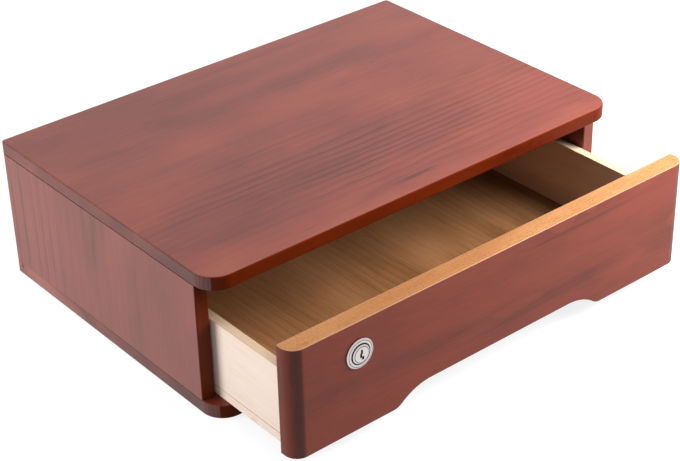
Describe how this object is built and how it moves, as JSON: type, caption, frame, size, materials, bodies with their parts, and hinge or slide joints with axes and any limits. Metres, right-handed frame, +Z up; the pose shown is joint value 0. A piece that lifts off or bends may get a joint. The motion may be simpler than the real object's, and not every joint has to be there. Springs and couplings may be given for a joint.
{
  "type": "laptop stand with drawer",
  "caption": "Low wooden laptop stand with a flat top, a wide sliding drawer below it with a finger cut-out, and a cam lock in the drawer front.",
  "frame": {"origin": "the middle of the base board's underside, which the stand rests on", "axes": "+X to the right along the front, +Y towards the back, +Z up; the drawer opens towards -Y"},
  "size_m": [0.425, 0.383, 0.128],
  "materials": {
    "stained_wood": "red-brown mahogany stain under satin lacquer",
    "pale_wood": "bare sanded pine",
    "brown_board": "smooth brown hardboard",
    "lock_chrome": "satin chrome plate on die-cast zinc",
    "plated_steel": "zinc-plated steel",
    "brass": "stamped brass"
  },
  "bodies": {
    "carcass": {"top_panel": "stained_wood", "base_panel": "stained_wood", "left_side_panel": "stained_wood", "right_side_panel": "stained_wood", "back_panel": "stained_wood", "left_kicker_rail": "pale_wood", "right_kicker_rail": "pale_wood", "base_stop_strip": "pale_wood", "strike_plate": "plated_steel", "carcass_dowels": "pale_wood", "carcass_screws": "plated_steel", "kicker_screws": "plated_steel", "strike_screws": "plated_steel"},
    "drawer": {"drawer_front": "stained_wood", "drawer_box_front": "pale_wood", "drawer_left_side": "pale_wood", "drawer_right_side": "pale_wood", "drawer_back": "pale_wood", "drawer_bottom": "brown_board", "left_runner_strip": "pale_wood", "right_runner_strip": "pale_wood", "drawer_stop_strip": "pale_wood", "front_screws": "plated_steel", "corner_pins": "plated_steel", "bottom_pins": "plated_steel", "lock_body": "lock_chrome", "lock_nut": "plated_steel"},
    "lock_core": {"lock_plug": "lock_chrome", "lock_wafers": "brass", "lock_cam": "plated_steel", "lock_cam_screw": "plated_steel"}
  },
  "joints": [
    {"name": "drawer_slide", "type": "slide", "parent": "carcass", "child": "drawer", "axis": [0, -1, 0], "range_m": [-0.0895, 0.0805]},
    {"name": "lock_turn", "type": "hinge", "parent": "drawer", "child": "lock_core", "pos_m": [-0.145, -0.2335, 0.0815], "axis": [0, -1, 0], "range_deg": [0, 90]}
  ]
}
